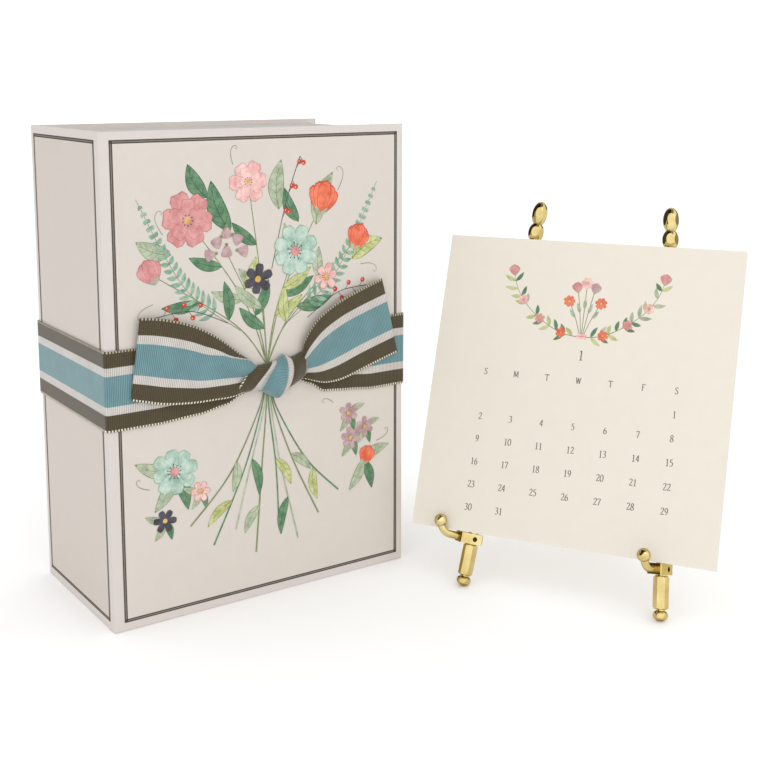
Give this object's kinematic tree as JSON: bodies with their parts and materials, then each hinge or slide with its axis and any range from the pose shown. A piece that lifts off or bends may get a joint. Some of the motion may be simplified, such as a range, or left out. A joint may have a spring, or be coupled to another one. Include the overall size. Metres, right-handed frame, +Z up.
{
  "type": "desk calendar",
  "caption": "Boxed desk calendar: square month cards on a folding brass easel with ball-ended hooks, beside a book-style keepsake box tied with a striped ribbon.",
  "frame": {"origin": "middle of the whole set's footprint, on the surface that it stands on", "axes": "+X along the lower edge of the cards, from the box towards the easel; +Y to the back; +Z up"},
  "size_m": [0.3002, 0.1936, 0.212],
  "materials": {
    "brass": "polished",
    "card_stock": "matte",
    "cover_board": "matte printed paper over board",
    "lining_paper": "matte",
    "ribbon": "ribbed grosgrain"
  },
  "bodies": {
    "base": {"left_foot": "brass", "right_foot": "brass", "left_post": "brass", "right_post": "brass", "left_leg": "brass", "right_leg": "brass", "left_finial": "brass", "right_finial": "brass", "upper_crossbar": "brass", "lower_crossbar": "brass", "hinge_bracket": "brass", "hinge_pin": "brass", "stop_plate": "brass", "front_board": "cover_board", "spine_board": "cover_board", "back_board": "cover_board", "spine_liner": "lining_paper", "front_liner": "lining_paper", "tray_floor": "lining_paper", "tray_top": "lining_paper", "tray_bottom": "lining_paper", "tray_spine_wall": "lining_paper", "tray_fore_wall": "lining_paper", "tray_lining": "lining_paper"},
    "left_hook": {"left_block": "brass", "left_arm": "brass", "left_screw": "brass"},
    "right_hook": {"right_block": "brass", "right_arm": "brass", "right_screw": "brass"},
    "rear": {"rear_knuckle": "brass", "rear_leg": "brass", "rear_foot": "brass"},
    "month_01": {"card_01": "card_stock"},
    "month_02": {"card_02": "card_stock"},
    "month_03": {"card_03": "card_stock"},
    "month_04": {"card_04": "card_stock"},
    "month_05": {"card_05": "card_stock"},
    "month_06": {"card_06": "card_stock"},
    "month_07": {"card_07": "card_stock"},
    "month_08": {"card_08": "card_stock"},
    "month_09": {"card_09": "card_stock"},
    "month_10": {"card_10": "card_stock"},
    "month_11": {"card_11": "card_stock"},
    "month_12": {"card_12": "card_stock"},
    "ribbon": {"ribbon_band": "ribbon", "ribbon_knot": "ribbon", "ribbon_tail_left": "ribbon", "ribbon_tail_right": "ribbon"}
  },
  "joints": [
    {"name": "rear_fold", "type": "hinge", "parent": "base", "child": "rear", "pos_m": [0.0821, 0.06522, 0.12498], "axis": [1, 0, 0], "range_deg": [-33, 0]},
    {"name": "left_hook_turn", "type": "hinge", "parent": "base", "child": "left_hook", "pos_m": [0.03807, 0.01932, 0.02048], "axis": [0.0785, 0.3556, 0.9313], "range_deg": [0, 35]},
    {"name": "right_hook_turn", "type": "hinge", "parent": "base", "child": "right_hook", "pos_m": [0.1261, 0.01942, 0.02074], "axis": [-0.0785, 0.3556, 0.9313], "range_deg": [-30, 0]},
    {"name": "month_01_lift", "type": "slide", "parent": "base", "child": "month_01", "axis": [0, 0.3567, 0.9342], "range_m": [0, 0.16]},
    {"name": "month_02_lift", "type": "slide", "parent": "base", "child": "month_02", "axis": [0, 0.3567, 0.9342], "range_m": [0, 0.16]},
    {"name": "month_03_lift", "type": "slide", "parent": "base", "child": "month_03", "axis": [0, 0.3567, 0.9342], "range_m": [0, 0.16]},
    {"name": "month_04_lift", "type": "slide", "parent": "base", "child": "month_04", "axis": [0, 0.3567, 0.9342], "range_m": [0, 0.16]},
    {"name": "month_05_lift", "type": "slide", "parent": "base", "child": "month_05", "axis": [0, 0.3567, 0.9342], "range_m": [0, 0.16]},
    {"name": "month_06_lift", "type": "slide", "parent": "base", "child": "month_06", "axis": [0, 0.3567, 0.9342], "range_m": [0, 0.16]},
    {"name": "month_07_lift", "type": "slide", "parent": "base", "child": "month_07", "axis": [0, 0.3567, 0.9342], "range_m": [0, 0.16]},
    {"name": "month_08_lift", "type": "slide", "parent": "base", "child": "month_08", "axis": [0, 0.3567, 0.9342], "range_m": [0, 0.16]},
    {"name": "month_09_lift", "type": "slide", "parent": "base", "child": "month_09", "axis": [0, 0.3567, 0.9342], "range_m": [0, 0.16]},
    {"name": "month_10_lift", "type": "slide", "parent": "base", "child": "month_10", "axis": [0, 0.3567, 0.9342], "range_m": [0, 0.16]},
    {"name": "month_11_lift", "type": "slide", "parent": "base", "child": "month_11", "axis": [0, 0.3567, 0.9342], "range_m": [0, 0.16]},
    {"name": "month_12_lift", "type": "slide", "parent": "base", "child": "month_12", "axis": [0, 0.3567, 0.9342], "range_m": [0, 0.16]},
    {"name": "ribbon_slide", "type": "slide", "parent": "base", "child": "ribbon", "axis": [0, 0, 1], "range_m": [-0.085, 0.13]}
  ]
}
